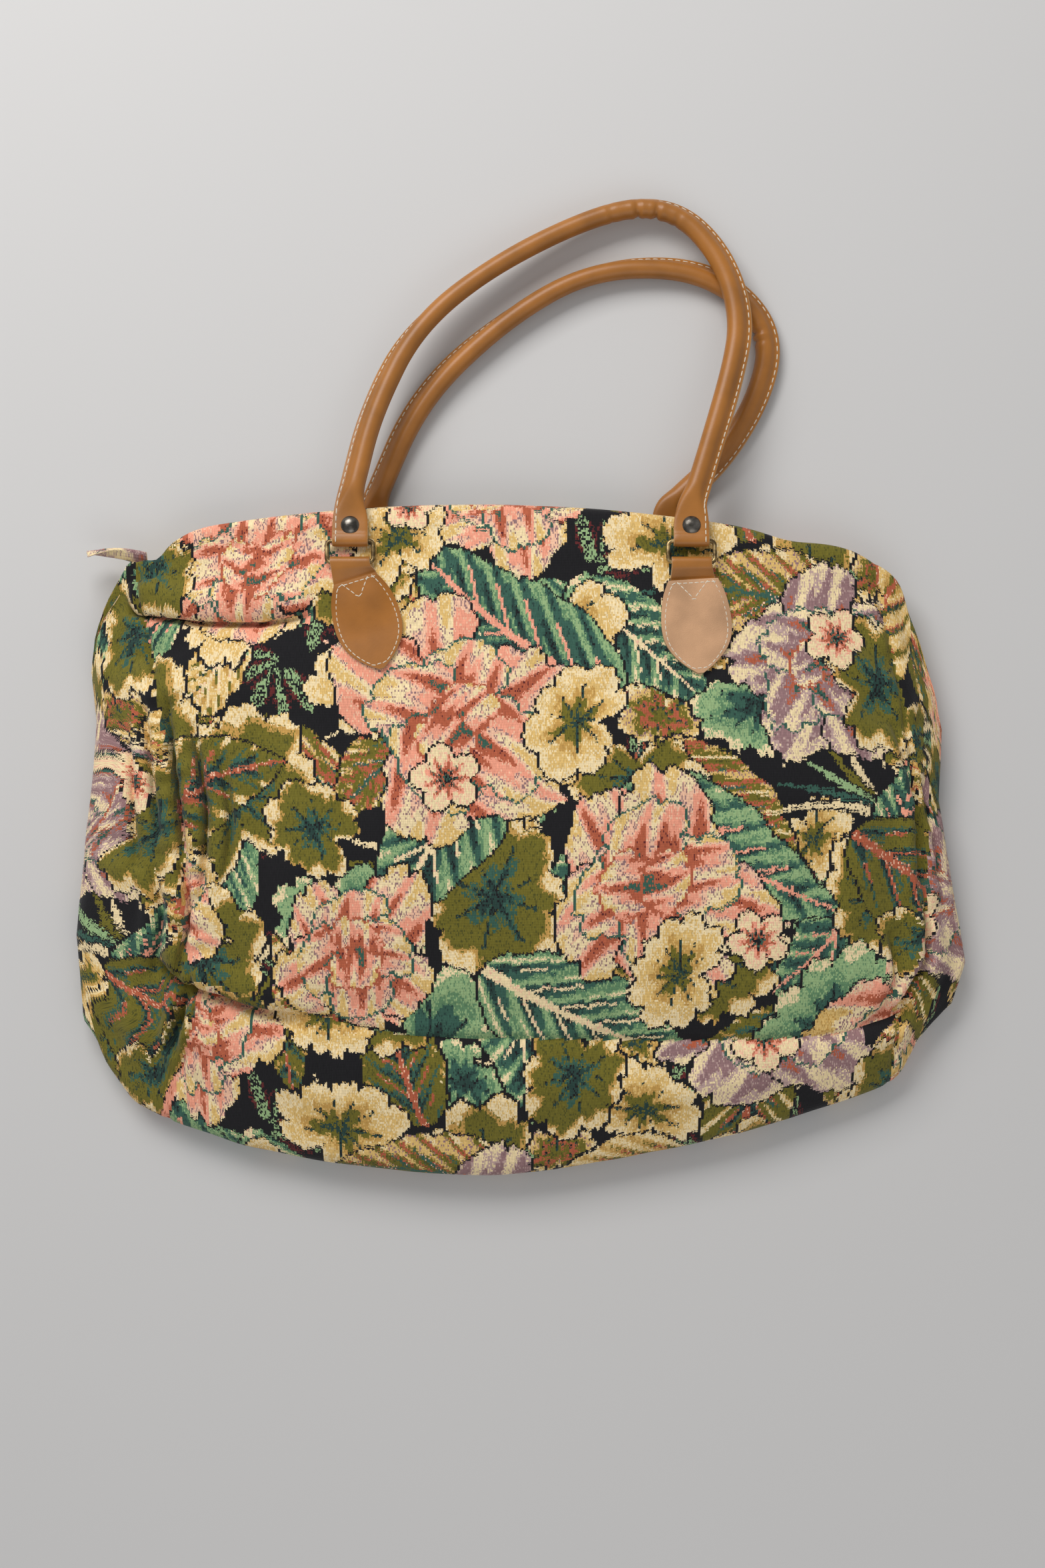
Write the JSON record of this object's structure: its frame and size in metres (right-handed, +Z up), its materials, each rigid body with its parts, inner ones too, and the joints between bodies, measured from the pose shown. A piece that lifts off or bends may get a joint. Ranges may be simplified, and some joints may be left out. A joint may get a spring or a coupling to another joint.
{
  "type": "canvas bag",
  "caption": "Soft zip-top weekend bag of heavy floral tapestry canvas, lying on its back, with rolled leather handles that swing on rectangular rings held by leather tabs.",
  "frame": {"origin": "middle of the bag's back, on the surface that it lies on", "axes": "+Z up out of the front panel, +Y from the bottom of the bag towards its handles, +X to the right"},
  "size_m": [0.5171, 0.5825, 0.0561],
  "materials": {
    "tapestry": "woven floral tapestry, matte",
    "zip_tape": "woven tape",
    "zip_metal": "aged metal",
    "smooth_leather": "smooth, soft sheen",
    "suede_leather": "matte, napped",
    "antique_brass": "antiqued, worn on edges",
    "antique_nickel": "dark antiqued"
  },
  "bodies": {
    "bag": {"left_side_panel": "tapestry", "right_side_panel": "tapestry", "base_panel": "tapestry", "front_panel": "tapestry", "back_panel": "tapestry", "front_zip_facing": "tapestry", "back_zip_facing": "tapestry", "front_zip_tape": "zip_tape", "back_zip_tape": "zip_tape", "front_zip_teeth": "zip_metal", "back_zip_teeth": "zip_metal", "zip_end_stops": "zip_metal", "zip_end_tab": "tapestry", "front_left_tab_loop": "smooth_leather", "front_right_tab_loop": "smooth_leather", "back_left_tab_loop": "smooth_leather", "back_right_tab_loop": "smooth_leather", "front_left_tab_shield": "smooth_leather", "front_right_tab_shield": "suede_leather", "back_left_tab_shield": "smooth_leather", "back_right_tab_shield": "suede_leather"},
    "front_left_ring": {"front_left_ring": "antique_brass"},
    "front_right_ring": {"front_right_ring": "antique_brass"},
    "front_handle": {"front_handle": "smooth_leather", "front_handle_rivets": "antique_nickel"},
    "back_left_ring": {"back_left_ring": "antique_brass"},
    "back_right_ring": {"back_right_ring": "antique_brass"},
    "back_handle": {"back_handle": "smooth_leather", "back_handle_rivets": "antique_nickel"},
    "zip_slider": {"zip_slider": "zip_metal"},
    "zip_puller": {"zip_puller": "zip_metal"}
  },
  "joints": [
    {"name": "front_left_ring_swing", "type": "hinge", "parent": "bag", "child": "front_left_ring", "pos_m": [0, 0.1625, 0.03853], "axis": [1, 0, 0], "range_deg": [0, 100]},
    {"name": "front_right_ring_swing", "type": "hinge", "parent": "bag", "child": "front_right_ring", "pos_m": [0, 0.1625, 0.03853], "axis": [1, 0, 0], "range_deg": [0, 100]},
    {"name": "front_handle_swing", "type": "hinge", "parent": "front_left_ring", "child": "front_handle", "pos_m": [0, 0.1749, 0.03697], "axis": [1, 0, 0], "range_deg": [0, 60]},
    {"name": "back_left_ring_swing", "type": "hinge", "parent": "bag", "child": "back_left_ring", "pos_m": [0, 0.1625, 0.0055], "axis": [1, 0, 0], "range_deg": [-100, 0]},
    {"name": "back_right_ring_swing", "type": "hinge", "parent": "bag", "child": "back_right_ring", "pos_m": [0, 0.1625, 0.0055], "axis": [1, 0, 0], "range_deg": [-100, 0]},
    {"name": "back_handle_swing", "type": "hinge", "parent": "back_left_ring", "child": "back_handle", "pos_m": [0, 0.175, 0.0055], "axis": [1, 0, 0], "range_deg": [-60, 0]},
    {"name": "zip_slider_travel", "type": "hinge", "parent": "bag", "child": "zip_slider", "pos_m": [-0.028, -0.762, 0.0206], "axis": [0, 0, 1], "range_deg": [0, 20.1]},
    {"name": "zip_puller_swing", "type": "hinge", "parent": "zip_slider", "child": "zip_puller", "pos_m": [0.13915, 0.17831, 0.0206], "axis": [0, 0, 1], "range_deg": [-165, 0]}
  ],
  "couplings": [
    {"joint": "front_right_ring_swing", "follows": "front_left_ring_swing", "ratio": 1},
    {"joint": "back_right_ring_swing", "follows": "back_left_ring_swing", "ratio": 1}
  ]
}
